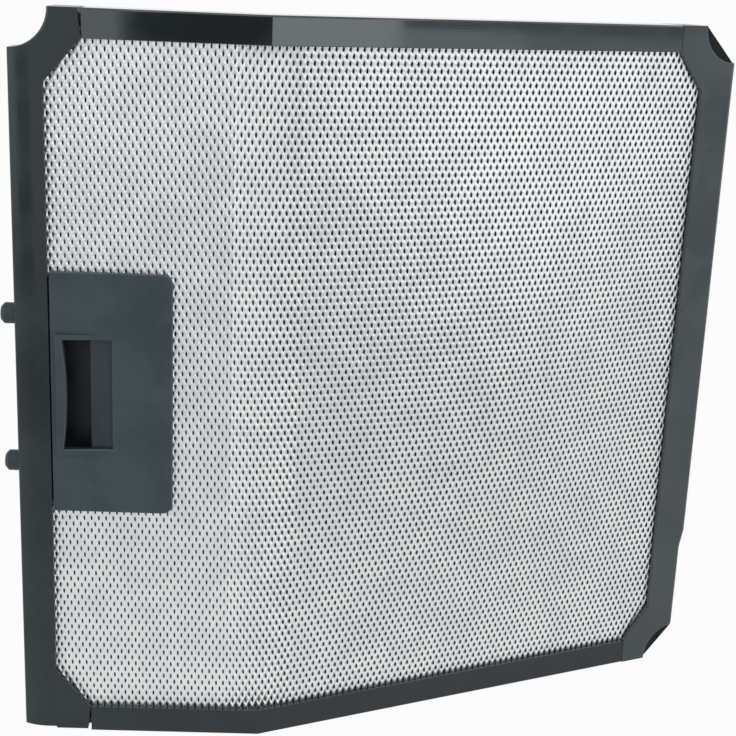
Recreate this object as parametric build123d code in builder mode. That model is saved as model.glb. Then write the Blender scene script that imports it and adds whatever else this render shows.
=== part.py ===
"""Cooker hood carbon filter: a plastic frame bent once, a carbon pad between two meshes, and a sprung latch.

Millimetres. +Z is up and the filter stands on its lower rail. The narrow latch panel faces -Y, and the wide
panel turns back from it at one upright crease. A place on the filter is given by s, the distance along the
front face from the crease (below zero on the latch panel), by its depth behind that face, and by its height.
"""
from build123d import *
from math import cos, radians, sin, tan
import os

os.makedirs("parts", exist_ok=True)

# Overall form
height = 320.0
latch_panel_width = 106.0
wide_panel_width = 232.0
bend_angle = 23.7
frame_depth = 18.0

# Frame mouldings
skin = 2.0
rail_face = 12.0
rail_wall = 2.2
latch_cap_face = 14.7
wide_cap_face = 16.5
cap_leg = 30.0
gusset_height = 17.5
seam_gap = 0.3
seam_taper = 1.2
scallop_radius = 16.5
scallop_edge = 0.6
corner_chamfer = 15.5
crown_width = 11.0
crown_radius = 24.0
latch_rim_radius = 1.6
latch_edge_radius = 1.5
wide_edge_radius = 2.4
rail_edge_radius = 0.8
land_height = 1.9
land_bottom = 60.0
land_ramp = 9.0
latch_cap_lift = 1.0
corner_lift = 0.8
spigot_length = 12.0
spigot_height = 3.0
spigot_root = 10.0
fit_gap = 0.3

# Filter stack
mesh_thickness = 1.4
ridge_height = 0.6
mesh_cell = 3.15
cells_per_ridge = 3
stack_side_lap = 9.7
stack_rail_lap = 5.5
stack_corner = 20.0
gap_width = 3.0
gap_height = 34.0
gap_rows = 6
gap_margin = 22.0
bulge_height = 8.0
bulge_margin = 7.0
bulge_power = 1.5
bulge_columns = 10
bulge_rows = 6

# Latch
latch_travel = 6.5
bolt_radius = 4.7
bolt_nose_radius = 4.5
bolt_reach = 6.2
bolt_spacing = 66.0
bolt_depth = 8.0
bolt_clearance = 0.4
bolt_tip = 1.4
plate_width = 51.5
plate_height = 106.5
plate_thickness = 1.7
plate_corner = 4.3
plate_small_corner = 1.2
plate_gap = 0.5
finger_width = 20.8
finger_height = 48.6
finger_inset = 5.2
finger_bow = 1.6
pad_edge_inset = 16.5
hood_rise = 1.8
hood_inset = 2.1
hood_crest = 2.2
hood_length = 20.5
hood_rim = 2.3
plate_edge = 0.7
edge_break = 0.4
tray_height = 91.0
tray_wall = 1.4
tray_end_inset = 3.0
slider_height = 77.0
slider_length = 17.2
slider_wall = 1.8
slider_clearance = 0.4
spring_radius = 3.2
spring_wire = 0.7
spring_turns = 4
spring_spacing = 40.0
spring_peg_radius = 2.2
wire_sides = 4
post_width = 2.2
post_boss = 4.4
post_length = 6.0
post_inset = 5.0
post_wall_inset = 1.6
post_clearance = 0.1

# Places worked out from the sizes above
bend = radians(bend_angle)
latch_edge = -latch_panel_width
wide_edge = wide_panel_width
wide_side = wide_edge - land_height
mid_height = height / 2
back_skin = frame_depth - skin
opening_left = latch_edge + latch_cap_face
opening_right = wide_side - wide_cap_face
seam_left = latch_edge + cap_leg
seam_right = wide_side - cap_leg
stack_left = opening_left - stack_side_lap
stack_right = opening_right + stack_side_lap
stack_bottom = rail_face - stack_rail_lap
stack_top = height - stack_bottom
ridge_pitch = mesh_cell * cells_per_ridge
crease_margin = frame_depth * tan(bend / 2)
bulge_right = opening_right - bulge_margin
bulge_bottom = rail_face + bulge_margin
bulge_top = height - bulge_bottom
mesh_back = skin + mesh_thickness
rear_mesh_front = back_skin - mesh_thickness
plate_left = opening_left + plate_gap
plate_right = plate_left + plate_width
plate_front = skin - plate_thickness
finger_left = plate_left + finger_inset
finger_right = finger_left + finger_width
pad_edge = plate_left + pad_edge_inset
tray_left = stack_left - fit_gap
tray_right = plate_right - tray_end_inset
tray_back = rear_mesh_front
tray_floor = tray_back - tray_wall
tray_width = tray_right - tray_left
tray_middle = ((tray_left + tray_right) / 2, mid_height)
slider_right = pad_edge + slider_length
arm_left = tray_left + tray_wall + fit_gap
arm_height = slider_height - bolt_spacing
spring_start = slider_right
spring_end = tray_right - tray_wall
spring_room = spring_end - spring_start
spring_peg_length = (spring_room - latch_travel - fit_gap) / 2

# How near an edge lies to a face that it is picked by
edge_reach = 0.01

# The box of the whole filter is centred on the origin, so the crease stands off to one side
reach_left = latch_panel_width + bolt_reach
reach_right = wide_panel_width * cos(bend) - wide_edge_radius * (cos(bend) + sin(bend) - 1)
reach_front = hood_rise
reach_back = wide_panel_width * sin(bend) + frame_depth * cos(bend)
crease_x = (reach_left - reach_right) / 2
crease_y = (reach_front - reach_back) / 2

LATCH_FACE = Plane(origin=(crease_x, crease_y, 0), x_dir=(1, 0, 0), z_dir=(0, -1, 0))
WIDE_FACE = Plane(
    origin=(crease_x, crease_y, 0),
    x_dir=(cos(bend), sin(bend), 0),
    z_dir=(sin(bend), -cos(bend), 0),
)

WIDE_ALONG = Axis(WIDE_FACE.origin, WIDE_FACE.x_dir)
WIDE_DEPTH = Axis(WIDE_FACE.origin, -WIDE_FACE.z_dir)


def plan_point(s, depth):
    """Place in plan of a point at s along the front face and a depth behind it."""
    if s <= 0:
        return (crease_x + s, crease_y + depth)
    return (
        crease_x + s * cos(bend) - depth * sin(bend),
        crease_y + s * sin(bend) + depth * cos(bend),
    )


def crease_point(depth):
    """Place in plan of the crease at a depth, where the two panels' layers meet."""
    return (crease_x - depth * tan(bend / 2), crease_y + depth)


def lies_in_front(edge):
    """Whether an edge lies along the front face of either panel."""
    depths = [-face.to_local_coords(edge.center()).Z for face in (LATCH_FACE, WIDE_FACE)]
    return abs(min(depths)) < edge_reach


def bent_layer(start, end, near, far):
    """Outline in plan of a layer that follows the bend, from one depth to another."""
    return [
        plan_point(start, near),
        crease_point(near),
        plan_point(end, near),
        plan_point(end, far),
        crease_point(far),
        plan_point(start, far),
    ]


def ridge_places(start, end):
    """Where each ridge of a mesh starts along one panel, with half ridges left flat at the two ends."""
    count = int((end - start) / ridge_pitch)
    first = start + (end - start - count * ridge_pitch) / 2
    return [first + index * ridge_pitch for index in range(count)]


def bulge(s, level):
    """How far the pad pushes the front mesh out on the wide panel: a pillow that dies out at the frame."""
    across = 2 * s / bulge_right - 1
    upward = 2 * (level - bulge_bottom) / (bulge_top - bulge_bottom) - 1
    return bulge_height * (max(0, 1 - across**2) * max(0, 1 - upward**2)) ** bulge_power


def bulge_levels():
    """Heights of the sections that the pad and the front mesh are lofted through."""
    step = (bulge_top - bulge_bottom) / bulge_rows
    rows = [bulge_bottom + row * step for row in range(bulge_rows + 1)]
    return [stack_bottom, *rows, stack_top]


def bulge_line(depth, level):
    """Points in plan across the bulge at one height, for a layer at a depth behind the front face."""
    places = [bulge_right * column / bulge_columns for column in range(1, bulge_columns + 1)]
    return [plan_point(s, depth - bulge(s, level)) for s in places]


def ridge_line(start, end, outer, valley, level):
    """Points in plan along one panel of a mesh's outer side: the crest of each ridge between two valleys."""
    corners = []
    for s in ridge_places(start, end):
        corners.append((s, valley))
        corners.append((s + ridge_pitch / 2, outer))
    corners.append((s + ridge_pitch, valley))
    return [plan_point(place, depth - bulge(place, level)) for place, depth in corners]


def mesh_outline(outer, inner, level):
    """Outline in plan of a mesh sheet at one height: ridges on its outer side, smooth against the pad."""
    valley = outer + ridge_height if inner > outer else outer - ridge_height
    return [
        plan_point(stack_left, valley),
        *ridge_line(stack_left, -crease_margin, outer, valley, level),
        crease_point(valley),
        *ridge_line(crease_margin, stack_right, outer, valley, level),
        plan_point(stack_right, valley),
        plan_point(stack_right, inner),
        *reversed(bulge_line(inner, level)),
        crease_point(inner),
        plan_point(stack_left, inner),
    ]


def section(outline, level):
    """A level face that keeps each point of its outline as a corner, also where three are in line."""
    return Face(Wire.make_polygon([(x, y, level) for x, y in outline]))


def pad_outline(level):
    """Outline in plan of the carbon pad at one height."""
    return [
        plan_point(stack_left, mesh_back),
        crease_point(mesh_back),
        *bulge_line(mesh_back, level),
        plan_point(stack_right, mesh_back),
        plan_point(stack_right, rear_mesh_front),
        crease_point(rear_mesh_front),
        plan_point(stack_left, rear_mesh_front),
    ]


def gap_centres(start, end):
    """Centres of the gaps in a mesh on one panel, staggered from valley to valley within the opening."""
    low = rail_face + gap_margin
    step = (height - 2 * low) / (gap_rows - 1)
    centres = []
    for index, s in enumerate(ridge_places(start, end)[1:]):
        if opening_left + gap_margin < s < opening_right - gap_margin:
            for row in range(index % 2, gap_rows, 2):
                centres.append((s, low + row * step))
    return centres


def cut_gaps():
    """Cut the diamond gaps of a mesh through both panels."""
    panels = ((LATCH_FACE, stack_left, -crease_margin), (WIDE_FACE, crease_margin, stack_right))
    for face, start, end in panels:
        with BuildSketch(face.offset(bulge_height)) as gaps:
            with Locations(*gap_centres(start, end)):
                Polygon((0, -gap_height / 2), (gap_width / 2, 0), (0, gap_height / 2), (-gap_width / 2, 0))
        extrude(gaps.sketch, amount=-bulge_height - frame_depth, mode=Mode.SUBTRACT)


def cut_stack_corners():
    """Cut the four corners of a layer of the stack, so that it clears the frame's corners."""
    for face, edge, inward in ((LATCH_FACE, stack_left, 1), (WIDE_FACE, stack_right, -1)):
        with BuildSketch(face) as corners:
            for level, upward in ((stack_bottom, 1), (stack_top, -1)):
                Polygon(
                    (edge, level),
                    (edge + inward * stack_corner, level),
                    (edge, level + upward * stack_corner),
                )
        extrude(corners.sketch, amount=-frame_depth, mode=Mode.SUBTRACT)


def cut_latch_window():
    """Cut the window in a layer of the stack that the latch tray fills."""
    with BuildSketch(LATCH_FACE) as window:
        with Locations(tray_middle):
            Rectangle(tray_width + 2 * fit_gap, tray_height + 2 * fit_gap)
    extrude(window.sketch, amount=-frame_depth, mode=Mode.SUBTRACT)


def cut_stack_pocket(face, edge, inward):
    """Cut the pocket in an end cap that takes the edge of the stack, with the same cut corners."""
    side = edge - inward * fit_gap
    low = stack_bottom - fit_gap
    high = stack_top + fit_gap
    with BuildSketch(face.offset(-skin)) as pocket:
        Polygon(
            (side, low + stack_corner),
            (side + inward * stack_corner, low),
            (0, low),
            (0, high),
            (side + inward * stack_corner, high),
            (side, high - stack_corner),
        )
    extrude(pocket.sketch, amount=-(frame_depth - 2 * skin), mode=Mode.SUBTRACT)


def add_spigots(face, seam, inward):
    """Add the two tongues of an end cap that plug into the ends of the rails' channels."""
    root = seam - inward * spigot_root
    tip = seam + inward * spigot_length
    level = rail_wall + fit_gap + spigot_height / 2
    with BuildSketch(face.offset(-skin - fit_gap)) as spigots:
        with Locations(((root + tip) / 2, level), ((root + tip) / 2, height - level)):
            Rectangle(abs(tip - root), spigot_height)
    extrude(spigots.sketch, amount=-(frame_depth - 2 * skin - 2 * fit_gap))


def post_places():
    """Centres of the four posts that hold the latch plate on its tray."""
    level = tray_height / 2 - tray_wall - post_wall_inset
    places = []
    for s in (finger_left, tray_right - post_inset):
        for side in (-1, 1):
            places.append((s, mid_height + side * level))
    return places


# Latch end cap: an upright with two short legs, a scalloped upper corner and a crowned face
with BuildPart() as latch_end_cap:
    with BuildSketch(LATCH_FACE):
        with BuildLine():
            Polyline(
                (latch_edge, latch_cap_lift + corner_lift),
                (opening_left, latch_cap_lift + corner_lift),
                (opening_left, latch_cap_lift),
                (seam_left - seam_taper, latch_cap_lift),
                (seam_left, rail_face),
                (opening_left, rail_face + gusset_height),
                (opening_left, height - rail_face - gusset_height),
                (seam_left, height - rail_face),
                (seam_left - seam_taper, height),
                (latch_edge, height),
                close=True,
            )
        make_face()
        with Locations((latch_edge, height)):
            Circle(scallop_radius, mode=Mode.SUBTRACT)
    extrude(amount=-frame_depth)
    front_rim = latch_end_cap.edges().filter_by(GeomType.CIRCLE).sort_by(Axis.Y)[0]
    fillet(front_rim, latch_rim_radius)
    with BuildSketch(Plane.XY):
        crown_fall = crown_radius - (crown_radius**2 - crown_width**2) ** 0.5
        with BuildLine():
            Line(plan_point(latch_edge, 0), plan_point(latch_edge + crown_width, 0))
            RadiusArc(
                plan_point(latch_edge + crown_width, 0),
                plan_point(latch_edge, crown_fall),
                crown_radius,
            )
            Line(plan_point(latch_edge, crown_fall), plan_point(latch_edge, 0))
        make_face()
    extrude(amount=height, mode=Mode.SUBTRACT)
    outer_edges = latch_end_cap.edges().filter_by(Axis.Z).group_by(Axis.X)[0]
    fillet(outer_edges.sort_by(Axis.Y)[0], latch_edge_radius)
    cut_stack_pocket(LATCH_FACE, stack_left, 1)
    add_spigots(LATCH_FACE, seam_left, 1)
    with BuildSketch(Plane.YZ.offset(crease_x + latch_edge)):
        with Locations((crease_y + bolt_depth, mid_height)):
            with GridLocations(0, bolt_spacing, 1, 2):
                Circle(bolt_radius + bolt_clearance)
    extrude(amount=latch_cap_face, mode=Mode.SUBTRACT)
latch_end_cap.part.label = "latch_end_cap"
export_step(latch_end_cap.part, "parts/latch_end_cap.step")


# Wide end cap: chamfered corners under a scalloped front skin, and a raised land along its outer side
with BuildPart() as wide_end_cap:
    with BuildSketch(WIDE_FACE):
        with BuildLine():
            Polyline(
                (seam_right, 0),
                (wide_side - corner_chamfer, 0),
                (wide_side, corner_chamfer),
                (wide_side, land_bottom),
                (wide_edge, land_bottom + land_ramp),
                (wide_edge, height - corner_chamfer - land_height),
                (wide_side - corner_chamfer, height),
                (seam_right, height),
                (seam_right, height - rail_face),
                (opening_right, height - rail_face - gusset_height),
                (opening_right, rail_face + gusset_height),
                (seam_right, rail_face),
                close=True,
            )
        make_face()
    extrude(amount=-frame_depth)
    front_edges = wide_end_cap.edges().filter_by_position(WIDE_DEPTH, -edge_reach, edge_reach)
    outer_edges = front_edges.filter_by_position(WIDE_ALONG, wide_side - edge_reach, wide_edge + edge_reach)
    fillet(outer_edges, wide_edge_radius)
    cut_stack_pocket(WIDE_FACE, stack_right, -1)
    add_spigots(WIDE_FACE, seam_right, -1)
    with BuildSketch(WIDE_FACE):
        with Locations((wide_side, 0), (wide_side, height)):
            Circle(scallop_radius)
    extrude(amount=-skin, mode=Mode.SUBTRACT)
    rims = wide_end_cap.edges().filter_by(GeomType.CIRCLE)
    fillet(rims.filter_by_position(WIDE_DEPTH, -edge_reach, edge_reach), scallop_edge)
wide_end_cap.part.label = "wide_end_cap"
export_step(wide_end_cap.part, "parts/wide_end_cap.step")


# Rails: bent channels, open towards the mesh
for rail_name, rail_level, channel_level, outer_level in (
    ("top_rail", height - rail_face, height - rail_face, height),
    ("bottom_rail", 0.0, rail_wall, 0.0),
):
    with BuildPart() as rail:
        with BuildSketch(Plane.XY.offset(rail_level)):
            Polygon(*bent_layer(seam_left + seam_gap, seam_right - seam_gap, 0, frame_depth))
        extrude(amount=rail_face)
        with BuildSketch(Plane.XY.offset(channel_level)):
            Polygon(*bent_layer(seam_left, seam_right, skin, back_skin))
        extrude(amount=rail_face - rail_wall, mode=Mode.SUBTRACT)
        front_edges = rail.edges().filter_by(lies_in_front)
        level_span = (outer_level - edge_reach, outer_level + edge_reach)
        fillet(front_edges.filter_by_position(Axis.Z, *level_span), rail_edge_radius)
    rail.part.label = rail_name
    export_step(rail.part, f"parts/{rail_name}.step")


# Meshes: sheets of expanded metal, ridged on the side that shows, with gaps through their valleys
for mesh_name, mesh_outer, mesh_inner, mesh_levels in (
    ("front_mesh", skin, mesh_back, bulge_levels()),
    ("rear_mesh", back_skin, rear_mesh_front, (stack_bottom, stack_top)),
):
    with BuildPart() as mesh:
        outlines = [(mesh_outline(mesh_outer, mesh_inner, level), level) for level in mesh_levels]
        loft([section(outline, level) for outline, level in outlines], ruled=True)
        cut_gaps()
        cut_stack_corners()
        if mesh_name == "front_mesh":
            cut_latch_window()
    mesh.part.label = mesh_name
    export_step(mesh.part, f"parts/{mesh_name}.step")


# Carbon pad: one bent slab that swells forward between the meshes, with a window for the latch
with BuildPart() as carbon_pad:
    loft([section(pad_outline(level), level) for level in bulge_levels()], ruled=True)
    cut_stack_corners()
    cut_latch_window()
carbon_pad.part.label = "carbon_pad"
export_step(carbon_pad.part, "parts/carbon_pad.step")


def rims_finger_opening(edge):
    """Whether an edge of the latch plate lies on the front rim of the finger opening."""
    middle = edge.center()
    s = middle.X - crease_x
    beside = finger_left - fit_gap < s < finger_right + fit_gap
    level = abs(middle.Z - mid_height) < finger_height / 2 + fit_gap
    return beside and level and middle.Y < crease_y + plate_front + fit_gap


# Latch plate: a thin cover with a finger opening under a wedge-shaped hood
with BuildPart() as latch_plate:
    plate_middle = (plate_left + plate_right) / 2
    with BuildSketch(LATCH_FACE.offset(-plate_front)) as plate_outline:
        with Locations((plate_middle, mid_height)):
            Rectangle(plate_width, plate_height)
        fillet(plate_outline.vertices().group_by(Axis.X)[-1], plate_corner)
        fillet(plate_outline.vertices().group_by(Axis.X)[0], plate_small_corner)
    extrude(amount=-plate_thickness)
    fillet(latch_plate.edges().group_by(Axis.Y)[0], plate_edge)
    hood_height = finger_height + 2 * hood_rim
    with BuildSketch(Plane.XY.offset(mid_height - hood_height / 2)):
        hood_left = plate_left + hood_inset
        with BuildLine():
            Polyline(
                plan_point(hood_left, skin),
                plan_point(hood_left, plate_front),
                plan_point(hood_left + hood_rise / 2, -hood_rise),
                plan_point(hood_left + hood_crest, -hood_rise),
                plan_point(hood_left + hood_length, plate_front),
                plan_point(hood_left + hood_length, skin),
                close=True,
            )
        make_face()
    extrude(amount=hood_height)
    with BuildSketch(LATCH_FACE.offset(hood_rise)):
        top_left = (finger_left, mid_height + finger_height / 2)
        bottom_left = (finger_left, mid_height - finger_height / 2)
        with BuildLine():
            Polyline(
                top_left,
                (finger_right, mid_height + finger_height / 2),
                (finger_right, mid_height - finger_height / 2),
                bottom_left,
            )
            ThreePointArc(bottom_left, (finger_left + finger_bow, mid_height), top_left)
        make_face()
    extrude(amount=-hood_rise - skin, mode=Mode.SUBTRACT)
    chamfer([edge for edge in latch_plate.edges() if rims_finger_opening(edge)], edge_break)
    with BuildSketch(LATCH_FACE.offset(-skin)):
        with Locations(*post_places()):
            Rectangle(post_width, post_width)
    extrude(amount=-post_length)
latch_plate.part.label = "latch_plate"
export_step(latch_plate.part, "parts/latch_plate.step")


# Latch tray: the box behind the plate that the slider runs in
with BuildPart() as latch_tray:
    with BuildSketch(LATCH_FACE.offset(-skin)):
        with Locations(tray_middle):
            Rectangle(tray_width, tray_height)
    extrude(amount=-(tray_back - skin))
    with BuildSketch(LATCH_FACE.offset(-skin)):
        with Locations(tray_middle):
            Rectangle(tray_width - 2 * tray_wall, tray_height - 2 * tray_wall)
    extrude(amount=-(tray_floor - skin), mode=Mode.SUBTRACT)
    with BuildSketch(LATCH_FACE.offset(-skin)):
        with Locations(*post_places()):
            Rectangle(post_boss, post_boss)
    extrude(amount=-(tray_back - skin))
    with BuildSketch(LATCH_FACE.offset(-skin)):
        with Locations(*post_places()):
            Rectangle(post_width + 2 * post_clearance, post_width + 2 * post_clearance)
    extrude(amount=-post_length - fit_gap, mode=Mode.SUBTRACT)
    with BuildSketch(Plane.YZ.offset(crease_x + tray_left)):
        with Locations((crease_y + bolt_depth, mid_height)):
            with GridLocations(0, bolt_spacing, 1, 2):
                Circle(bolt_radius + bolt_clearance)
    extrude(amount=tray_wall, mode=Mode.SUBTRACT)
    with BuildSketch(Plane.YZ.offset(crease_x + spring_end)):
        with Locations((crease_y + bolt_depth, mid_height)):
            with GridLocations(0, spring_spacing, 1, 2):
                Circle(spring_peg_radius)
    extrude(amount=-spring_peg_length)
latch_tray.part.label = "latch_tray"
export_step(latch_tray.part, "parts/latch_tray.step")


# Latch slider: a hollow finger pad with a pull edge, and two arms that end in round bolts. The arms stop on
# the tray's side at rest, and the spring pegs nearly meet when the bolts are drawn in
with BuildPart() as latch_slider:
    slider_front = skin + slider_clearance
    slider_back = tray_floor - slider_clearance
    slider_middle = (pad_edge + slider_length / 2, mid_height)
    with BuildSketch(LATCH_FACE.offset(-slider_front)):
        with Locations(slider_middle):
            Rectangle(slider_length, slider_height)
    extrude(amount=-(slider_back - slider_front))
    with BuildSketch(LATCH_FACE.offset(-slider_front - slider_wall)):
        with Locations(slider_middle):
            Rectangle(slider_length - 2 * slider_wall, slider_height - 2 * slider_wall)
    extrude(amount=-(slider_back - slider_front), mode=Mode.SUBTRACT)
    pull_edge = latch_slider.edges().filter_by(Axis.Z).group_by(Axis.X)[0].sort_by(Axis.Y)[0]
    fillet(pull_edge, edge_break)
    with BuildSketch(LATCH_FACE.offset(-slider_front)):
        with Locations(((arm_left + pad_edge) / 2, mid_height)):
            with GridLocations(0, bolt_spacing, 1, 2):
                Rectangle(pad_edge - arm_left, arm_height)
    extrude(amount=-(slider_back - slider_front))
    nose_start = latch_edge - fit_gap
    with BuildSketch(Plane.YZ.offset(crease_x + nose_start)):
        with Locations((crease_y + bolt_depth, mid_height)):
            with GridLocations(0, bolt_spacing, 1, 2):
                Circle(bolt_radius)
    extrude(amount=arm_left - nose_start)
    with BuildSketch(Plane.YZ.offset(crease_x + nose_start)):
        with Locations((crease_y + bolt_depth, mid_height)):
            with GridLocations(0, bolt_spacing, 1, 2):
                Circle(bolt_nose_radius)
    extrude(amount=fit_gap - bolt_reach)
    tips = latch_slider.edges().filter_by(GeomType.CIRCLE).group_by(Axis.X)[0]
    chamfer(tips, bolt_tip)
    with BuildSketch(Plane.YZ.offset(crease_x + slider_right)):
        with Locations((crease_y + bolt_depth, mid_height)):
            with GridLocations(0, spring_spacing, 1, 2):
                Circle(spring_peg_radius)
    extrude(amount=spring_peg_length)
latch_slider.part.label = "latch_slider"
export_step(latch_slider.part, "parts/latch_slider.step")


# Latch springs: two coils between the slider and the end of the tray
spring_length = spring_room - spring_wire
for spring_name, spring_side in (("upper_latch_spring", 1), ("lower_latch_spring", -1)):
    spring_base = (
        crease_x + spring_start + spring_wire / 2,
        crease_y + bolt_depth,
        mid_height + spring_side * spring_spacing / 2,
    )
    with BuildPart() as spring:
        with BuildLine():
            coil = Helix(
                pitch=spring_length / spring_turns,
                height=spring_length,
                radius=spring_radius,
                center=spring_base,
                direction=(1, 0, 0),
            )
        with BuildSketch(Plane(origin=coil @ 0, z_dir=coil % 0)):
            RegularPolygon(spring_wire / 2, wire_sides)
        sweep(path=coil, is_frenet=True)
    spring.part.label = spring_name
    export_step(spring.part, f"parts/{spring_name}.step")
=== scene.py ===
# %% [markdown]
# # A cooker hood carbon filter
# The filter is a plastic frame, bent once, that holds black carbon felt between two sheets of expanded
# aluminium. A finger latch on the narrow panel draws two bolts in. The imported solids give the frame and
# the latch their exact places, so this lesson starts from them and only adds what solids can't show:
# the real openings of the metal, the felt, round spring wire, and the finish of every surface.

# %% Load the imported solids
import math

import bmesh
import bpy
from mathutils import Matrix, Vector, noise


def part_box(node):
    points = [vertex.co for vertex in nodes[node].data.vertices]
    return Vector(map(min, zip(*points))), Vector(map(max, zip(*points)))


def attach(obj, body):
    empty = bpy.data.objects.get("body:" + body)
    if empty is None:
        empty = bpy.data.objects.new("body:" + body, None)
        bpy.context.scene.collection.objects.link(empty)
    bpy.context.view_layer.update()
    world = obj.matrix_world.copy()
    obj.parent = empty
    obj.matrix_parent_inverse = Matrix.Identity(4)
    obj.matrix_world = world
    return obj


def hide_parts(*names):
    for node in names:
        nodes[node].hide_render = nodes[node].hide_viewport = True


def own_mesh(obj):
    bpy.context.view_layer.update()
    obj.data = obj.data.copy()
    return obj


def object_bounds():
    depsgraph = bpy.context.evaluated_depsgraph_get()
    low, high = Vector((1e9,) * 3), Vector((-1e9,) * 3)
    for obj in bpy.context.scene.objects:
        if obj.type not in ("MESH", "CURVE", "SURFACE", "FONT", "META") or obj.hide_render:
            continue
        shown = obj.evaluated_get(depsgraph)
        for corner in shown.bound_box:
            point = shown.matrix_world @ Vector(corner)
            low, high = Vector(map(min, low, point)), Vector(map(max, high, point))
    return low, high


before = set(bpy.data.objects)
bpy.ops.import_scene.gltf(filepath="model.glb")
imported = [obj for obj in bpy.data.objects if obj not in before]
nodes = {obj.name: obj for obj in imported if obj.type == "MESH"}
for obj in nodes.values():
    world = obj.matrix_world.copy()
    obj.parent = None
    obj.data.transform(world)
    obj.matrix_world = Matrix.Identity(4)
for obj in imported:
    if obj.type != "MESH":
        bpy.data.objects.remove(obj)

cad_low, cad_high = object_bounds()
print("solids:", len(nodes), "size in mm:", [round(1000 * side, 1) for side in cad_high - cad_low])

# %% [markdown]
# ## A map of the bent face
# Every sheet in the filter follows the same fold. It is easiest to model a sheet flat, with one axis
# along the face and one up, and to bend it at the end. So this step writes the bend down once: a place
# is given by its distance along the face from the crease, its height, and its depth behind the face.
# The frame is folded sharply, but metal and felt round the corner, so the map uses an arc there.

# %% Bend the flat face
MM = 0.001
latch_panel = 106 * MM
bend = math.radians(23.7)
crease_reach = 15 * MM
crease_radius = crease_reach / math.tan(bend / 2)
cap_low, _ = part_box("latch_end_cap")
crease = Vector((cap_low.x + latch_panel, cap_low.y, 0))


def bent_place(along, height, depth):
    """The point at a distance along the face from the crease, at a height and a depth behind it."""
    turn = bend * min(max((along + crease_reach) / (2 * crease_reach), 0), 1)
    if abs(along) < crease_reach:
        x = crease_radius * math.sin(turn) - crease_reach
        y = crease_radius * (1 - math.cos(turn))
    else:
        x = along * math.cos(turn)
        y = along * math.sin(turn)
    return crease + Vector((x - depth * math.sin(turn), y + depth * math.cos(turn), height))


print("crease at", [round(1000 * value, 1) for value in crease], "mm")

# %% [markdown]
# ## The swelling of the wide panel
# The felt is thicker than the room behind the metal, so it pushes the front sheet out into a low
# pillow. The swelling dies out under the frame. A product of two rounded steps gives that form, and the
# sheet and the felt share it, so they always lie against each other.

# %% Measure the stack and its swelling
stack_low, stack_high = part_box("front_mesh")
stack_left = stack_low.x - crease.x
stack_right = 222.8 * MM
stack_bottom = stack_low.z
stack_top = stack_high.z
half_height = (stack_bottom + stack_top) / 2
swell_right = 206.6 * MM
swell_bottom = 19 * MM
swell_top = stack_bottom + stack_top - swell_bottom
swell_height = 8 * MM
swell_power = 1.5


def swell(along, height):
    """How far the felt pushes the front sheet out at a place on the face."""
    across = 2 * along / swell_right - 1
    upward = 2 * (height - swell_bottom) / (swell_top - swell_bottom) - 1
    return swell_height * (max(0, 1 - across**2) * max(0, 1 - upward**2)) ** swell_power


tray_low, tray_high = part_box("latch_tray")
window_right = tray_high.x - crease.x
window_bottom = tray_low.z
window_top = tray_high.z
stack_corner = 20 * MM


def in_stack(along, height, margin):
    """Whether a place lies in the stack's outline, clear of its cut corners."""
    side = min(along - stack_left, stack_right - along)
    end = min(height - stack_bottom, stack_top - height)
    return side > margin and end > margin and side + end > stack_corner + margin


def in_window(along, height, side_margin, end_margin):
    """Whether a place lies in the window that the latch tray fills, or within a margin of it."""
    level = window_bottom - end_margin < height < window_top + end_margin
    return level and along < window_right + side_margin


most_swelling = swell(swell_right / 2, half_height)
print("swelling at the middle of the wide panel:", round(1000 * most_swelling, 2), "mm")

# %% [markdown]
# ## Small helpers for pieces and node trees
# A finished bmesh becomes an object that sits at the origin, with its place in its mesh. Shading is
# smooth but breaks where two faces meet at a steep angle, so rims stay crisp. The node helpers only
# save typing: one makes a node and sets its sockets, and one opens a new material.

# %% Piece and node helpers
def piece_from(bm, name, material, sharp_angle):
    """Turn a bmesh into an object with one material, smooth apart from edges over an angle in degrees."""
    mesh = bpy.data.meshes.new(name)
    bm.to_mesh(mesh)
    bm.free()
    mesh.materials.append(material)
    mesh.shade_smooth()
    mesh.set_sharp_from_angle(angle=math.radians(sharp_angle))
    piece = bpy.data.objects.new(name, mesh)
    bpy.context.scene.collection.objects.link(piece)
    return piece


def add_node(tree, kind, settings=None, **values):
    """Add a node, set its own settings, and set its input sockets by name."""
    node = tree.nodes.new(kind)
    for key, value in (settings or {}).items():
        setattr(node, key, value)
    for key, value in values.items():
        node.inputs[key.replace("_", " ")].default_value = value
    return node


def new_material(name):
    """Open a material with a principled shader, and return it with its tree and that shader."""
    material = bpy.data.materials.new(name)
    material.use_nodes = True
    tree = material.node_tree
    return material, tree, tree.nodes["Principled BSDF"]


print("helpers:", piece_from.__name__, add_node.__name__, new_material.__name__)

# %% [markdown]
# ## Shared effects as node groups
# Moulded plastic, drawn metal and felt all need patterns that sit on the object, so the groups read
# Object coordinates. One group makes soft cloudy smudges, as fingers and mould flow leave them,
# together with a fine grain. A second one makes faint lines along one direction, as extrusion and
# rolling leave them. Each puts out values only, so each material decides what they do.

# %% Cloud and grain group
def new_group(name, inputs, outputs):
    """Open a shader node group with number inputs and outputs, and return it with its two end nodes."""
    tree = bpy.data.node_groups.new(name, "ShaderNodeTree")
    for socket, value in inputs.items():
        made = tree.interface.new_socket(name=socket, in_out="INPUT", socket_type="NodeSocketFloat")
        made.default_value = value
    for socket in outputs:
        tree.interface.new_socket(name=socket, in_out="OUTPUT", socket_type="NodeSocketFloat")
    return tree, tree.nodes.new("NodeGroupInput"), tree.nodes.new("NodeGroupOutput")


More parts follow.
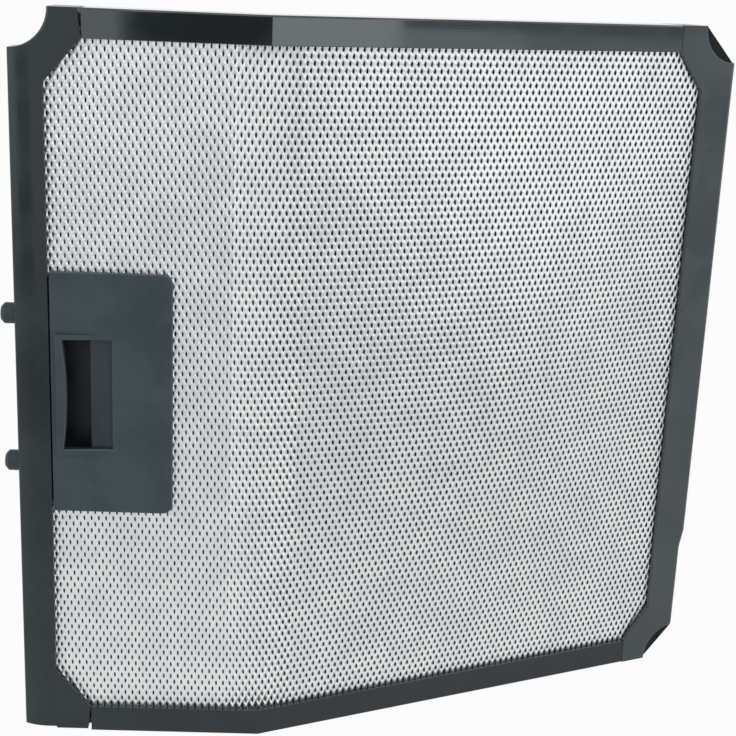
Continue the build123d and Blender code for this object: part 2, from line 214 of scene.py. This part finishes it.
def make_surface_group():
    """Clouds for smudges and a fine grain, both on Object coordinates."""
    tree, entry, leave = new_group(
        "cloud_and_grain", {"Cloud Scale": 40, "Grain Scale": 1800}, ("Cloud", "Grain")
    )
    place = add_node(tree, "ShaderNodeTexCoord")
    cloud = add_node(tree, "ShaderNodeTexNoise", Detail=3, Roughness=0.55, Distortion=0.4)
    grain = add_node(tree, "ShaderNodeTexNoise", Detail=2, Roughness=0.6)
    contrast = add_node(
        tree, "ShaderNodeMapRange", {"interpolation_type": "SMOOTHSTEP"}, From_Min=0.34, From_Max=0.66
    )
    for noise_node, scale in ((cloud, "Cloud Scale"), (grain, "Grain Scale")):
        tree.links.new(place.outputs["Object"], noise_node.inputs["Vector"])
        tree.links.new(entry.outputs[scale], noise_node.inputs["Scale"])
    tree.links.new(cloud.outputs["Fac"], contrast.inputs["Value"])
    tree.links.new(contrast.outputs["Result"], leave.inputs["Cloud"])
    tree.links.new(grain.outputs["Fac"], leave.inputs["Grain"])
    return tree


surface_group = make_surface_group()
print("group:", surface_group.name, [item.name for item in surface_group.interface.items_tree])

# %% Drawn lines group
def make_line_group():
    """Faint lines that run level round the part, closely spaced in height."""
    tree, entry, leave = new_group("drawn_lines", {"Line Scale": 900, "Run Scale": 6}, ("Lines",))
    place = add_node(tree, "ShaderNodeTexCoord")
    stretch = add_node(tree, "ShaderNodeCombineXYZ")
    scaled = add_node(tree, "ShaderNodeVectorMath", {"operation": "MULTIPLY"})
    lines = add_node(tree, "ShaderNodeTexNoise", Scale=1, Detail=2, Roughness=0.7)
    tree.links.new(entry.outputs["Run Scale"], stretch.inputs["X"])
    tree.links.new(entry.outputs["Run Scale"], stretch.inputs["Y"])
    tree.links.new(entry.outputs["Line Scale"], stretch.inputs["Z"])
    tree.links.new(place.outputs["Object"], scaled.inputs[0])
    tree.links.new(stretch.outputs["Vector"], scaled.inputs[1])
    tree.links.new(scaled.outputs["Vector"], lines.inputs["Vector"])
    tree.links.new(lines.outputs["Fac"], leave.inputs["Lines"])
    return tree


line_group = make_line_group()
print("group:", line_group.name, [item.name for item in line_group.interface.items_tree])

# %% [markdown]
# ## Slate plastic
# The frame is a dark slate plastic whose grey comes half from its own colour and half from the room
# that it reflects. The caps and the latch are moulded, with a soft satin skin and cloudy smudges. The
# rails are extruded and glossier, with faint lines along them, and the latch's slider and tray are
# painted darker, as painted shade inside and behind the plate. Each cap and each rail has a shade of
# its own, as the photograph shows them unlike: they are lit and shaded copies of one plastic, so the
# wide cap's paler colour is painted light and the lower rail's darker colour is painted shade. One
# function makes them all: the cloud shifts the colour and the roughness a little, and the grain goes to
# a weak bump.

# %% Plastic materials
plastic_ior = 1.45
cool_tint = (0.88, 0.98, 1, 1)
grain_height = 0.05 * MM


def place_group(tree, group, **values):
    """Place a node group in a material and set its inputs."""
    node = tree.nodes.new("ShaderNodeGroup")
    node.node_tree = group
    for key, value in values.items():
        node.inputs[key.replace("_", " ")].default_value = value
    return node


def mix_colours(tree, factor, first, second):
    """Mix two colours, given as numbers or as sockets, by a factor socket, as a socket."""
    mix = add_node(tree, "ShaderNodeMix", {"data_type": "RGBA"})
    colour_sockets = [socket for socket in mix.inputs if socket.type == "RGBA"]
    for socket, colour in zip(colour_sockets, (first, second)):
        if isinstance(colour, bpy.types.NodeSocket):
            tree.links.new(colour, socket)
        else:
            socket.default_value = (*colour, 1)
    tree.links.new(factor, mix.inputs["Factor"])
    return next(socket for socket in mix.outputs if socket.type == "RGBA")


def span(tree, value, low, high):
    """Spread a value from 0 to 1 over a span and return the new value's socket."""
    spread = add_node(tree, "ShaderNodeMapRange", To_Min=low, To_Max=high)
    tree.links.new(value, spread.inputs["Value"])
    return spread.outputs["Result"]


def bump(tree, height, strength, distance):
    """A bump from a height socket, as a normal socket."""
    node = add_node(tree, "ShaderNodeBump", Strength=strength, Distance=distance)
    tree.links.new(height, node.inputs["Height"])
    return node.outputs["Normal"]


def make_plastic(name, dark, light, roughness, grain_strength, lined=False, gloss=0.5):
    """Slate plastic: smudged colour and gloss over a fine grain, or over drawn lines."""
    material, tree, shader = new_material(name)
    surface = place_group(tree, surface_group, Cloud_Scale=34, Grain_Scale=1500)
    tree.links.new(mix_colours(tree, surface.outputs["Cloud"], dark, light), shader.inputs["Base Color"])
    tree.links.new(span(tree, surface.outputs["Cloud"], *roughness), shader.inputs["Roughness"])
    height = surface.outputs["Grain"]
    if lined:
        height = place_group(tree, line_group, Line_Scale=1400, Run_Scale=5).outputs["Lines"]
    tree.links.new(bump(tree, height, grain_strength, grain_height), shader.inputs["Normal"])
    shader.inputs["IOR"].default_value = plastic_ior
    shader.inputs["Specular IOR Level"].default_value = gloss
    shader.inputs["Specular Tint"].default_value = cool_tint
    return material


cap_plastic = make_plastic(
    "cap_plastic", (0.012, 0.018, 0.022), (0.021, 0.030, 0.034), (0.16, 0.34), 0.25
)
# Painted light: the wide cap is a paler copy of the cap plastic, standing in for the brighter light on it.
lit_wide_cap_plastic = make_plastic(
    "lit_wide_cap_plastic", (0.049, 0.061, 0.068), (0.060, 0.075, 0.082), (0.24, 0.42), 0.25, gloss=0.6
)
rail_plastic = make_plastic(
    "rail_plastic", (0.020, 0.026, 0.029), (0.025, 0.032, 0.035), (0.03, 0.08), 0.05, lined=True, gloss=1
)
# Painted shade: the lower rail is a darker copy of the rail plastic, standing in for the different light on
# it.
shaded_lower_rail_plastic = make_plastic(
    "shaded_lower_rail_plastic", (0.013, 0.019, 0.023), (0.018, 0.025, 0.029), (0.05, 0.10), 0.05, lined=True
)
latch_plastic = make_plastic(
    "latch_plastic", (0.035, 0.053, 0.065), (0.054, 0.077, 0.090), (0.34, 0.56), 0.35
)
# Painted shade: the slider and the tray are darker copies of the latch plastic, as they lie in shade inside
# and behind the plate.
shaded_slider_plastic = make_plastic(
    "shaded_slider_plastic", (0.020, 0.031, 0.038), (0.033, 0.047, 0.055), (0.34, 0.56), 0.35
)
shaded_tray_plastic = make_plastic(
    "shaded_tray_plastic", (0.005, 0.008, 0.010), (0.010, 0.014, 0.016), (0.40, 0.58), 0.35
)
for plastic in (cap_plastic, lit_wide_cap_plastic, rail_plastic, shaded_lower_rail_plastic):
    print("plastic of the frame:", plastic.name)
for plastic in (latch_plastic, shaded_slider_plastic, shaded_tray_plastic):
    print("plastic of the latch:", plastic.name)

# %% [markdown]
# ## Painted edge highlights and painted shade in hollows
# Thin pale lines are painted along the edges of the moulded plastic as painted highlights, where the
# light would catch them, and the floors of the two hollows at the wide cap's corners get painted shade,
# darker than the face round them. An edge is where the surface turns away from the front, and those
# floors lie at one known depth. So each effect is a mask worked out from the normal or the place, and
# the mask lays one more colour over the plastic: a pale one for the highlights and a dark one, made
# dull dark metal too, for the shade.

# %% Edge and hollow masks
scallop_depth = 2 * MM
depth_reach = 0.3 * MM
edge_facing = (0.3, 0.9)
floor_facing = 0.95
latch_front = Vector((0, -1, 0))
wide_front = Vector((math.sin(bend), -math.cos(bend), 0))


def along_axis(tree, vector, axis):
    """The share of a vector socket that points along an axis, as a socket."""
    product = add_node(tree, "ShaderNodeVectorMath", {"operation": "DOT_PRODUCT"})
    product.inputs[1].default_value = axis
    tree.links.new(vector, product.inputs[0])
    return product.outputs["Value"]


def calculate(tree, operation, first, *others):
    """One step of arithmetic on a socket with sockets or numbers, as a socket."""
    step = add_node(tree, "ShaderNodeMath", {"operation": operation})
    tree.links.new(first, step.inputs[0])
    for socket, other in zip(step.inputs[1:], others):
        if isinstance(other, (int, float)):
            socket.default_value = other
        else:
            tree.links.new(other, socket)
    return step.outputs[0]


def between(tree, value, low, high):
    """A mask that is 1 where a value lies between two limits."""
    above = calculate(tree, "GREATER_THAN", value, low)
    return calculate(tree, "MULTIPLY", above, calculate(tree, "LESS_THAN", value, high))


def lay_colour(material, mask, colour):
    """Lay one colour over a material's base colour where a mask is 1."""
    tree = material.node_tree
    base = tree.nodes["Principled BSDF"].inputs["Base Color"]
    tree.links.new(mix_colours(tree, mask, base.links[0].from_socket, colour), base)


def paint_edge_highlights(material, front, colour):
    """Paint highlights: lay a pale colour over the slopes and rounded edges round a face."""
    tree = material.node_tree
    surface = add_node(tree, "ShaderNodeNewGeometry")
    facing = along_axis(tree, surface.outputs["Normal"], front)
    lay_colour(material, between(tree, facing, *edge_facing), colour)


def paint_hollow_shade(material, front, colour):
    """Paint shade on the floors that lie behind a face at the depth of the scallops, and make them metal,
    which with a dark colour mirrors little.
    """
    tree = material.node_tree
    place = add_node(tree, "ShaderNodeTexCoord")
    surface = add_node(tree, "ShaderNodeNewGeometry")
    depth = along_axis(tree, place.outputs["Object"], -front)
    level = calculate(tree, "COMPARE", depth, scallop_depth - crease.dot(front), depth_reach)
    facing = along_axis(tree, surface.outputs["Normal"], front)
    floors = calculate(tree, "MULTIPLY", level, calculate(tree, "GREATER_THAN", facing, floor_facing))
    lay_colour(material, floors, colour)
    tree.links.new(floors, tree.nodes["Principled BSDF"].inputs["Metallic"])


# Painted highlights on the edges of the wide cap and the latch plate, and painted shade on the wide cap's
# scallop floors.
paint_edge_highlights(lit_wide_cap_plastic, wide_front, (0.10, 0.12, 0.13))
paint_edge_highlights(latch_plastic, latch_front, (0.085, 0.115, 0.13))
paint_hollow_shade(lit_wide_cap_plastic, wide_front, (0.018, 0.021, 0.024))
print("painted_highlights:", lit_wide_cap_plastic.name, latch_plastic.name)

# %% Dress the plastic solids
plastic_of = {
    "latch_end_cap": cap_plastic,
    "wide_end_cap": lit_wide_cap_plastic,
    "top_rail": rail_plastic,
    "bottom_rail": shaded_lower_rail_plastic,
    "latch_plate": latch_plastic,
    "latch_tray": shaded_tray_plastic,
    "latch_slider": shaded_slider_plastic,
}
soft_edge = 0.3 * MM
steep_edge = 40
weld_reach = 0.001 * MM


def soften_edges(node):
    """Break a solid's sharp edges with modifiers, as no moulded edge is perfectly sharp."""
    weld = node.modifiers.new("weld", "WELD")
    weld.merge_threshold = weld_reach
    rounding = node.modifiers.new("soft_edges", "BEVEL")
    rounding.width = soft_edge
    rounding.segments = 2
    rounding.limit_method = "ANGLE"
    rounding.angle_limit = math.radians(steep_edge)
    rounding.harden_normals = True
    rounding.use_clamp_overlap = False


for node_name, plastic in plastic_of.items():
    nodes[node_name].data.materials.clear()
    nodes[node_name].data.materials.append(plastic)
soften_edges(nodes["top_rail"])
print("dressed:", ", ".join(plastic_of))

# %% [markdown]
# ## Expanded aluminium
# The metal is slit and pulled open, so it is a field of diamonds in which each diamond is one opening.
# A grid turned by an eighth of a turn and squeezed is such a field. Insetting every face leaves strands
# round it, and deleting the middles opens the holes. The pull also tips the strands like louvres: each
# hole's right rim comes a little forward and its left rim sinks, so strands that face right catch more
# light than those that face left. A bump map could only paint the holes, but real ones show the felt
# behind them and hold up close by.

# %% Bright aluminium
def make_aluminium():
    """Bright rolled aluminium with a slightly uneven sheen."""
    material, tree, shader = new_material("bright_aluminium")
    surface = place_group(tree, surface_group, Cloud_Scale=60, Grain_Scale=900)
    tree.links.new(
        mix_colours(tree, surface.outputs["Cloud"], (0.70, 0.73, 0.74), (0.77, 0.795, 0.80)),
        shader.inputs["Base Color"],
    )
    tree.links.new(span(tree, surface.outputs["Grain"], 0.30, 0.46), shader.inputs["Roughness"])
    shader.inputs["Metallic"].default_value = 1
    return material


aluminium = make_aluminium()
print("metal:", aluminium.name)

# %% Diamond field
cell_width = 3.157 * MM
cell_height = 5.834 * MM
first_opening = Vector((67.26 * MM, 225.36 * MM, 0))
strand_half = 0.72 * MM
rim_drop = 0.41 * MM
bond_rise = 0.1 * MM
louvre_slope = 0.36
side_pull = 0.6
end_pull = 0.92
metal_thickness = 0.3 * MM
axis_reach = 0.15 * MM
bond_reach = 0.25


def diamond_field(inside):
    """A flat bmesh of diamonds, one for each opening, of which those inside an outline are kept."""
    columns = (stack_right - stack_left) / cell_width
    rows = (stack_top - stack_bottom) / cell_height
    count = 2 * math.ceil(columns + rows) + 1
    bm = bmesh.new()
    bmesh.ops.create_grid(bm, x_segments=count, y_segments=count, size=count / 2)
    squeeze = Matrix.Diagonal((cell_width / math.sqrt(2), cell_height / math.sqrt(2), 1, 1))
    turn = Matrix.Rotation(math.radians(45), 4, "Z")
    bmesh.ops.transform(bm, matrix=Matrix.Translation(first_opening) @ squeeze @ turn, verts=bm.verts)
    outside = [face for face in bm.faces if not inside(*face.calc_center_median().xy)]
    bmesh.ops.delete(bm, geom=outside, context="FACES")
    return bm


def opening_middle(place):
    """The middle of the opening whose rim a place lies on."""
    row = round((place.y - first_opening.y) / (cell_height / 2))
    column = round((place.x - first_opening.x) / cell_width - row / 2) + row / 2
    return first_opening.xy + Vector((column * cell_width, row * cell_height / 2))


def is_bond(place):
    """Whether a place on a strand is a bond, where four strands meet, and not the middle of a strand."""
    level = (place.y - first_opening.y) / (cell_height / 2)
    return abs(level - round(level)) < bond_reach


def open_strands(bm):
    """Open each diamond into a rounded hole between tipped strands, and give the metal its thickness."""
    cells = bm.faces[:]
    bmesh.ops.inset_individual(
        bm, faces=cells, thickness=strand_half, depth=-rim_drop, use_even_offset=True
    )
    bmesh.ops.delete(bm, geom=cells, context="FACES_ONLY")
    along_strands = []
    for edge in bm.edges:
        first, second = edge.verts
        if abs(first.co.z - second.co.z) < rim_drop / 2:
            along_strands.append(edge)
    bmesh.ops.subdivide_edges(bm, edges=along_strands, cuts=1)
    for vert in bm.verts:
        if vert.co.z < -rim_drop / 2:
            middle = opening_middle(vert.co)
            reach = vert.co.xy - middle
            if abs(reach.y) < axis_reach:
                reach.x *= side_pull
            if abs(reach.x) < axis_reach:
                reach.y *= end_pull
            vert.co = (*(middle + reach), vert.co.z + louvre_slope * reach.x)
        elif is_bond(vert.co):
            vert.co.z += bond_rise
    bmesh.ops.solidify(bm, geom=bm.faces[:], thickness=metal_thickness)


def expanded_sheet(name, node, depth, outward, inside):
    """One sheet of expanded metal, bent to the face at a depth, with its front outward or backward."""
    bm = diamond_field(inside)
    open_strands(bm)
    for vert in bm.verts:
        along, height, rise = vert.co
        swelling = swell(along, height) if outward > 0 else 0
        vert.co = bent_place(along, height, depth - swelling - outward * rise)
    if outward < 0:
        bmesh.ops.reverse_faces(bm, faces=bm.faces[:])
    sheet = piece_from(bm, name, aluminium, sharp_angle=50)
    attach(sheet, "frame")
    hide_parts(node)
    triangles = sum(len(polygon.vertices) - 2 for polygon in sheet.data.polygons)
    print(name, "has", triangles, "triangles")


print("each opening takes", round(1000 * cell_width, 2), "by", round(1000 * cell_height, 2), "mm")

# %% Two sheets of expanded metal
front_depth = 2.6 * MM
rear_depth = 15.4 * MM


def is_inner(along, height):
    """Whether a place lies on the crease's side of a line of strands across the wide panel's middle."""
    return (along - stack_right / 2) / cell_width <= (height - half_height) / cell_height


def in_latch_panel(along, height):
    """Whether an opening lies on the latch panel."""
    return along <= 0 and in_stack(along, height, cell_width)


def in_front_latch_panel(along, height):
    """Whether an opening lies on the front of the latch panel, clear of the latch's window."""
    clear = not in_window(along, height, cell_width / 2, cell_height / 2)
    return clear and in_latch_panel(along, height)


def in_inner_wide_panel(along, height):
    """Whether an opening lies on the inner half of the wide panel."""
    return along > 0 and is_inner(along, height) and in_stack(along, height, cell_width)


def in_outer_wide_panel(along, height):
    """Whether an opening lies on the outer half of the wide panel."""
    return along > 0 and not is_inner(along, height) and in_stack(along, height, cell_width)


for sheet_name, node_name, depth, outward, inside in (
    ("front_mesh_latch_panel", "front_mesh", front_depth, 1, in_front_latch_panel),
    ("front_mesh_inner_wide_panel", "front_mesh", front_depth, 1, in_inner_wide_panel),
    ("front_mesh_outer_wide_panel", "front_mesh", front_depth, 1, in_outer_wide_panel),
    ("rear_mesh_latch_panel", "rear_mesh", rear_depth, -1, in_latch_panel),
    ("rear_mesh_inner_wide_panel", "rear_mesh", rear_depth, -1, in_inner_wide_panel),
    ("rear_mesh_outer_wide_panel", "rear_mesh", rear_depth, -1, in_outer_wide_panel),
):
    expanded_sheet(sheet_name, node_name, depth, outward, inside)

# %% [markdown]
# ## Carbon felt
# The pad is a thick mat of black fibres loaded with carbon grains. It shows as the dark behind every
# opening. It is made as one level grid with the latch's window left out, extruded to its thickness, and
# bent with the same map as the metal. A little noise lifts its surface, as felt is never flat.

# %% Felt material
felt_grain_strength = 0.7
felt_grain_height = 0.3 * MM


def make_felt():
    """Matt black felt with paler fibres and a rough nap."""
    material, tree, shader = new_material("carbon_felt")
    surface = place_group(tree, surface_group, Cloud_Scale=260, Grain_Scale=2600)
    tree.links.new(
        mix_colours(tree, surface.outputs["Cloud"], (0.035, 0.037, 0.039), (0.14, 0.145, 0.148)),
        shader.inputs["Base Color"],
    )
    tree.links.new(span(tree, surface.outputs["Grain"], 0.85, 1.0), shader.inputs["Roughness"])
    nap = bump(tree, surface.outputs["Grain"], felt_grain_strength, felt_grain_height)
    tree.links.new(nap, shader.inputs["Normal"])
    shader.inputs["Specular IOR Level"].default_value = 0.2
    return material


felt = make_felt()
print("felt:", felt.name)

# %% Felt pad
felt_cell = 4 * MM
felt_front = 3.5 * MM
felt_back = 14.5 * MM
felt_nap = 0.25 * MM
felt_nap_scale = 160


def make_pad():
    """A bent mat with a window for the latch tray, swollen in front and level behind."""
    columns = round((stack_right - stack_left) / felt_cell)
    rows = round((stack_top - stack_bottom) / felt_cell)
    middle = Vector(((stack_left + stack_right) / 2, half_height, 0))
    shape = Matrix.Diagonal((stack_right - stack_left, stack_top - stack_bottom, 1, 1))
    bm = bmesh.new()
    bmesh.ops.create_grid(bm, x_segments=columns, y_segments=rows, size=0.5)
    bmesh.ops.transform(bm, matrix=Matrix.Translation(middle) @ shape, verts=bm.verts)
    away = []
    for face in bm.faces:
        along, height = face.calc_center_median().xy
        if in_window(along, height, felt_cell / 2, felt_cell / 2) or not in_stack(along, height, 0):
            away.append(face)
    bmesh.ops.delete(bm, geom=away, context="FACES")
    front = bm.faces[:]
    back = bmesh.ops.extrude_face_region(bm, geom=front, use_keep_orig=True)["geom"]
    back_verts = {item for item in back if isinstance(item, bmesh.types.BMVert)}
    for vert in bm.verts:
        along, height, _ = vert.co
        nap = felt_nap * noise.noise(Vector((along, height, 0)) * felt_nap_scale)
        depth = felt_back - abs(nap) if vert in back_verts else felt_front + abs(nap) - swell(along, height)
        vert.co = bent_place(along, height, depth)
    bmesh.ops.recalc_face_normals(bm, faces=bm.faces[:])
    pad = piece_from(bm, "carbon_felt_pad", felt, sharp_angle=40)
    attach(pad, "frame")
    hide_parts("carbon_pad")
    return pad


pad = make_pad()
print(pad.name, "has", len(pad.data.polygons), "faces")

# %% [markdown]
# ## Latch springs
# Two coils of round wire push the slider out. A small circle spun about the coil's axis while it moves
# along it draws the wire. When the slider is pulled back the coils shorten, but here each piece is
# attached to the frame at its full length.

# %% Spring steel
def make_spring_steel():
    """Bright steel wire with a slightly uneven sheen."""
    material, tree, shader = new_material("spring_steel")
    surface = place_group(tree, surface_group, Cloud_Scale=300, Grain_Scale=3000)
    tree.links.new(
        mix_colours(tree, surface.outputs["Cloud"], (0.42, 0.42, 0.43), (0.58, 0.58, 0.59)),
        shader.inputs["Base Color"],
    )
    tree.links.new(span(tree, surface.outputs["Grain"], 0.22, 0.4), shader.inputs["Roughness"])
    shader.inputs["Metallic"].default_value = 1
    return material


spring_steel = make_spring_steel()
print("wire:", spring_steel.name)

# %% Two coils
wire_radius = 0.35 * MM
wire_sides = 10
coil_turns = 6
steps_per_turn = 28


def make_spring(node):
    """One coil that fills the place of a spring's solid."""
    low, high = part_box(node)
    middle = (low + high) / 2
    coil_radius = (high.z - low.z) / 2 - wire_radius
    steps = coil_turns * steps_per_turn
    length = high.x - low.x - 2 * wire_radius
    start = Vector((low.x + wire_radius, middle.y, middle.z + coil_radius))
    bm = bmesh.new()
    facing = Matrix.Rotation(math.radians(90), 4, "X")
    bmesh.ops.create_circle(
        bm,
        segments=wire_sides,
        radius=wire_radius,
        matrix=Matrix.Translation(start) @ facing,
        cap_ends=True,
    )
    bmesh.ops.spin(
        bm,
        geom=bm.faces[:] + bm.edges[:] + bm.verts[:],
        cent=(start.x, middle.y, middle.z),
        axis=(1, 0, 0),
        dvec=(length / steps, 0, 0),
        angle=2 * math.pi * coil_turns,
        steps=steps,
    )
    bmesh.ops.recalc_face_normals(bm, faces=bm.faces[:])
    spring = piece_from(bm, node + "_coil", spring_steel, sharp_angle=60)
    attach(spring, "frame")
    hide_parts(node)
    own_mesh(spring)
    return spring


for node_name in ("upper_latch_spring", "lower_latch_spring"):
    coil = make_spring(node_name)
    print(coil.name, "has", len(coil.data.polygons), "faces")

# %% [markdown]
# ## Floor, light and camera
# The filter stands on a white sweep in a white room. The background is white only to the camera and in
# reflections, so the light on the object stays at a plain level, and the bright metal has something
# white to mirror. In front of the filter the mirrored floor fades to grey, so that the metal keeps its
# shading. Seven soft boxes stand round the filter. The wide ones light it. The narrow ones and a black
# card are there for the glossy rails, which mirror them as pale and dark bands. The camera stands where
# the photograph was taken from.

# %% White sweep
floor_reach = 60
fade_start = -0.12
fade_end = -0.62
floor_colour = (0.9, 0.9, 0.9, 1)
mirrored_grey = (0.56, 0.57, 0.58)
glow_share = 0.95
room_light = 0.45


def ray_mask(tree):
    """A factor that is 1 for what is seen straight, in gloss or through glass, and 0 for other light."""
    path = add_node(tree, "ShaderNodeLightPath")
    seen = calculate(tree, "MAXIMUM", path.outputs["Is Camera Ray"], path.outputs["Is Glossy Ray"])
    return calculate(tree, "MAXIMUM", seen, path.outputs["Is Transmission Ray"])


def make_floor():
    """A wide pale floor that keeps a soft shadow, and whose mirror image greys towards the camera."""
    material, tree, shader = new_material("white_sweep")
    shader.inputs["Base Color"].default_value = floor_colour
    shader.inputs["Roughness"].default_value = 0.9
    shader.inputs["Specular IOR Level"].default_value = 0
    glow = add_node(tree, "ShaderNodeEmission", Strength=1)
    place = add_node(tree, "ShaderNodeTexCoord")
    split = add_node(tree, "ShaderNodeSeparateXYZ")
    fade = add_node(tree, "ShaderNodeMapRange", From_Min=fade_start, From_Max=fade_end)
    tree.links.new(place.outputs["Object"], split.inputs[0])
    tree.links.new(split.outputs["Y"], fade.inputs["Value"])
    path = add_node(tree, "ShaderNodeLightPath")
    mirrored = calculate(tree, "MULTIPLY", fade.outputs["Result"], path.outputs["Is Glossy Ray"])
    tree.links.new(mix_colours(tree, mirrored, (1, 1, 1), mirrored_grey), glow.inputs["Color"])
    mix = add_node(tree, "ShaderNodeMixShader")
    tree.links.new(calculate(tree, "MULTIPLY", ray_mask(tree), glow_share), mix.inputs[0])
    tree.links.new(shader.outputs[0], mix.inputs[1])
    tree.links.new(glow.outputs[0], mix.inputs[2])
    tree.links.new(mix.outputs[0], tree.nodes["Material Output"].inputs["Surface"])
    bm = bmesh.new()
    bmesh.ops.create_grid(bm, x_segments=1, y_segments=1, size=floor_reach)
    floor = piece_from(bm, "floor", material, sharp_angle=30)
    return floor


def make_world():
    """A plain white room: full white where it is seen or mirrored, and a softer light on what it lights."""
    world = bpy.data.worlds.new("white_room")
    bpy.context.scene.world = world
    world.use_nodes = True
    tree = world.node_tree
    lighting = tree.nodes["Background"]
    lighting.inputs["Color"].default_value = (1, 1, 1, 1)
    lighting.inputs["Strength"].default_value = room_light
    seen = add_node(tree, "ShaderNodeBackground", Color=(1, 1, 1, 1), Strength=1)
    mix = add_node(tree, "ShaderNodeMixShader")
    tree.links.new(ray_mask(tree), mix.inputs[0])
    tree.links.new(lighting.outputs[0], mix.inputs[1])
    tree.links.new(seen.outputs[0], mix.inputs[2])
    tree.links.new(mix.outputs[0], tree.nodes["World Output"].inputs["Surface"])


floor = make_floor()
make_world()
print("stage:", floor.name, bpy.context.scene.world.name)

# %% Soft boxes
middle = (cad_low + cad_high) / 2


def soft_box(name, turn, lift, distance, width, height, watts):
    """A lamp that faces the object, turned round it and lifted by angles in degrees."""
    lamp = bpy.data.lights.new(name, "AREA")
    lamp.shape = "RECTANGLE"
    lamp.size = width
    lamp.size_y = height
    lamp.energy = watts
    turn, lift = math.radians(turn), math.radians(lift)
    towards = Vector((math.sin(turn) * math.cos(lift), -math.cos(turn) * math.cos(lift), math.sin(lift)))
    holder = bpy.data.objects.new(name, lamp)
    holder.location = middle + towards * distance
    holder.rotation_euler = towards.to_track_quat("Z", "Y").to_euler()
    bpy.context.scene.collection.objects.link(holder)
    return holder


for box in (
    soft_box("left_soft_box", -66, 8, 1.4, 0.8, 1.2, 3.5),
    soft_box("strip_soft_box", -20.6, 11.4, 0.96, 0.2, 0.7, 0.3),
    soft_box("right_soft_box", 43.5, 8, 1.4, 0.27, 1.0, 1.4),
    soft_box("middle_soft_box", 52.5, -2, 1.4, 0.17, 0.3, 0.145),
    soft_box("fading_soft_box", 60.5, -2, 1.4, 0.22, 0.3, 0.105),
    soft_box("side_soft_box", 92, 12, 1.4, 0.9, 1.0, 2.0),
    soft_box("top_soft_box", -15, 62, 1.4, 0.9, 0.6, 1.3),
):
    print(box.name, "at", [round(value, 2) for value in box.location])

# %% Black card
card_middle = Vector((-140, -854, 340)) * MM
card_size = Vector((165, 160)) * MM


def make_card():
    """A black card behind the camera, which only the glossy rail of the latch panel mirrors."""
    material, _, shader = new_material("black_card")
    shader.inputs["Base Color"].default_value = (0.003, 0.003, 0.003, 1)
    shader.inputs["Roughness"].default_value = 1
    shader.inputs["Specular IOR Level"].default_value = 0
    bm = bmesh.new()
    upright = Matrix.Rotation(math.radians(90), 4, "X") @ Matrix.Diagonal((*card_size, 1, 1))
    bmesh.ops.create_grid(
        bm, x_segments=1, y_segments=1, size=0.5, matrix=Matrix.Translation(card_middle) @ upright
    )
    card = piece_from(bm, "black_card", material, sharp_angle=30)
    card.visible_camera = False
    card.visible_diffuse = False
    card.visible_shadow = False
    return card


card = make_card()
print(card.name, "stands", round(-card_middle.y, 2), "m in front of the filter")

# %% Camera
camera_place = Vector((-23.9, -628.95, 340.34)) * MM
camera_tilt = (74.063, -2.302, -1.098)
photo_side = 736
focal_pixels = 1409.3

camera_data = bpy.data.cameras.new("camera")
camera_data.sensor_width = 36
camera_data.lens = focal_pixels * camera_data.sensor_width / photo_side
camera = bpy.data.objects.new("camera", camera_data)
camera.location = camera_place
camera.rotation_euler = [math.radians(angle) for angle in camera_tilt]
bpy.context.scene.collection.objects.link(camera)
bpy.context.scene.camera = camera
bpy.context.scene.view_settings.view_transform = "Standard"
print("camera lens:", round(camera_data.lens, 2), "mm")
